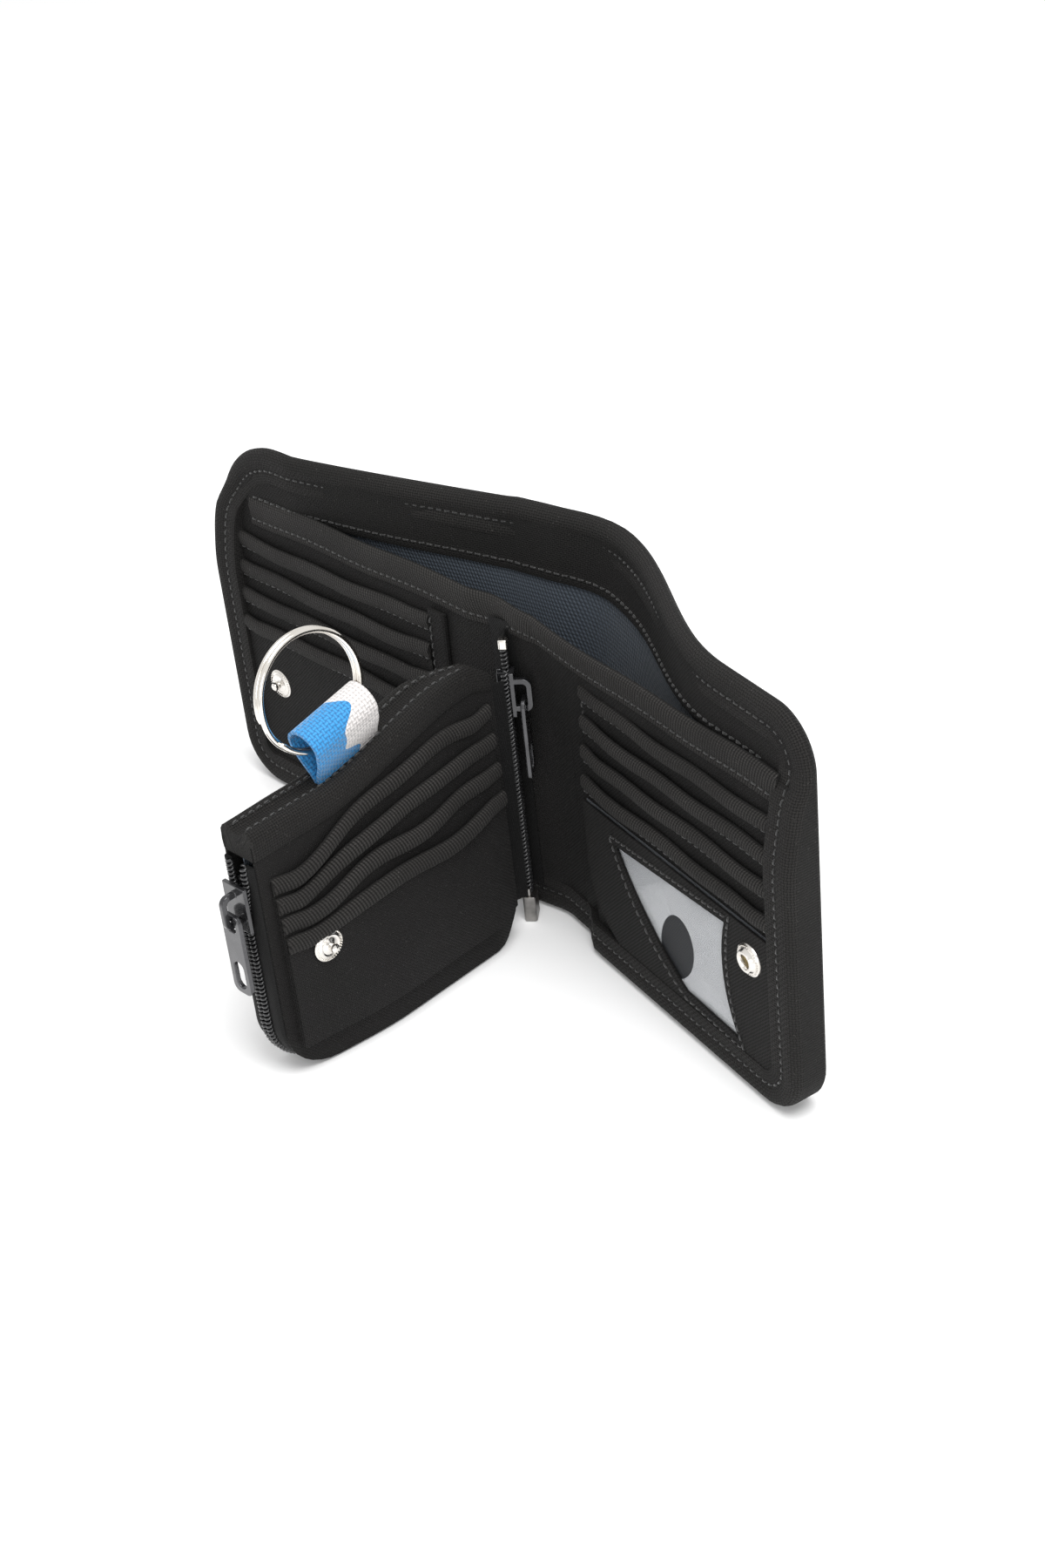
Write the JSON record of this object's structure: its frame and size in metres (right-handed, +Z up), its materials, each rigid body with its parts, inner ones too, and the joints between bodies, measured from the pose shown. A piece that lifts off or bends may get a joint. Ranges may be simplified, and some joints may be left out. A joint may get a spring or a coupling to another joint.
{
  "type": "trifold wallet",
  "caption": "Canvas wallet that stands open: card slots, an identity window, a bill pocket, and a zip-on coin pouch with a key ring.",
  "frame": {"origin": "on the floor under the middle of the spine, on the spine's inner face", "axes": "+Z up; +X along the spine towards the right-hand panel; -Y into the open wallet, where the coin pouch stands"},
  "size_m": [0.2511, 0.1354, 0.125],
  "materials": {
    "canvas": "black plain-woven canvas, slightly faded on the folds",
    "lining_twill": "blue-grey nylon twill with a soft sheen",
    "board": "thin stiffening board",
    "clear_film": "clear flexible vinyl film",
    "zip_tape": "black herringbone zip tape",
    "zip_coil": "glossy black nylon coil",
    "snap_nickel": "nickel-plated pressed brass",
    "box_metal": "dull grey metal",
    "gunmetal": "glossy gunmetal enamel",
    "ribbon": "woven ribbon, blue and white",
    "ring_nickel": "polished nickel"
  },
  "bodies": {
    "spine": {"spine_cover": "canvas", "spine_lining": "lining_twill", "spine_top_binding": "canvas", "spine_bottom_binding": "canvas", "spine_inner_panel": "canvas", "spine_hem": "canvas", "hinge_tape_spine": "zip_tape", "hinge_chain_spine": "zip_coil", "hinge_top_stop": "snap_nickel", "hinge_retainer_box": "box_metal"},
    "left_panel": {"left_cover": "canvas", "left_stiffener": "board", "left_lining": "lining_twill", "left_facing": "canvas", "left_binding": "canvas", "left_inner_panel": "canvas", "left_hem": "canvas", "left_pocket_1": "canvas", "left_pocket_2": "canvas", "left_pocket_3": "canvas", "left_pocket_4": "canvas", "left_fold_strip": "canvas", "left_snap_stud": "snap_nickel"},
    "right_panel": {"right_cover": "canvas", "right_stiffener": "board", "right_lining": "lining_twill", "right_facing": "canvas", "right_binding": "canvas", "right_inner_panel": "canvas", "right_hem": "canvas", "right_pocket_1": "canvas", "right_pocket_2": "canvas", "right_pocket_3": "canvas", "right_pocket_4": "canvas", "id_window_frame": "canvas", "id_window_film": "clear_film", "id_window_backing": "lining_twill", "right_snap_socket": "snap_nickel"},
    "pouch": {"pouch_front": "canvas", "pouch_back": "canvas", "pouch_lining": "lining_twill", "pouch_hem": "canvas", "pouch_pocket_1": "canvas", "pouch_pocket_2": "canvas", "pouch_pocket_3": "canvas", "pouch_pocket_4": "canvas", "pouch_tape_front": "zip_tape", "pouch_tape_back": "zip_tape", "pouch_chain_front": "zip_coil", "pouch_chain_back": "zip_coil", "pouch_hinge_tape": "zip_tape", "hinge_chain_pouch": "zip_coil", "pouch_snap_stud": "snap_nickel", "pouch_snap_socket": "snap_nickel"},
    "hinge_slider": {"hinge_slider": "gunmetal"},
    "hinge_puller": {"hinge_puller": "gunmetal"},
    "pouch_slider": {"pouch_slider": "gunmetal"},
    "pouch_puller": {"pouch_puller": "gunmetal"},
    "ribbon": {"ribbon_loop": "ribbon"},
    "key_ring": {"key_ring": "ring_nickel"}
  },
  "joints": [
    {"name": "left_fold", "type": "hinge", "parent": "spine", "child": "left_panel", "pos_m": [-0.014, -0.0016, 0], "axis": [0, 0, -1], "range_deg": [-84, 5]},
    {"name": "right_fold", "type": "hinge", "parent": "spine", "child": "right_panel", "pos_m": [0.014, -0.0016, 0], "axis": [0, 0, -1], "range_deg": [-21, 72]},
    {"name": "pouch_turn", "type": "hinge", "parent": "spine", "child": "pouch", "pos_m": [0.0036, -0.007, 0], "axis": [0, 0, -1], "range_deg": [-66, 58]},
    {"name": "hinge_zip", "type": "slide", "parent": "spine", "child": "hinge_slider", "axis": [0, 0, 1], "range_m": [-0.055, 0.005]},
    {"name": "hinge_pull_swing", "type": "hinge", "parent": "hinge_slider", "child": "hinge_puller", "pos_m": [0.00757, -0.00448, 0.0726], "axis": [0.5, -0.866, 0], "range_deg": [-3, 4]},
    {"name": "pouch_zip", "type": "slide", "parent": "pouch", "child": "pouch_slider", "axis": [0, 0, 1], "range_m": [-0.024, 0.006]},
    {"name": "pouch_pull_swing", "type": "hinge", "parent": "pouch_slider", "child": "pouch_puller", "pos_m": [-0.0153, -0.10451, 0.0536], "axis": [-0.9923, 0.1236, 0], "range_deg": [-3, 22]},
    {"name": "ribbon_flex", "type": "hinge", "parent": "pouch", "child": "ribbon", "pos_m": [-0.00984, -0.06478, 0.08504], "axis": [0.1209, 0.9706, 0.2079], "range_deg": [-30, 30]},
    {"name": "ring_swing", "type": "hinge", "parent": "ribbon", "child": "key_ring", "pos_m": [-0.01009, -0.06678, 0.09453], "axis": [0.1209, 0.9706, 0.2079], "range_deg": [-35, 35]}
  ]
}
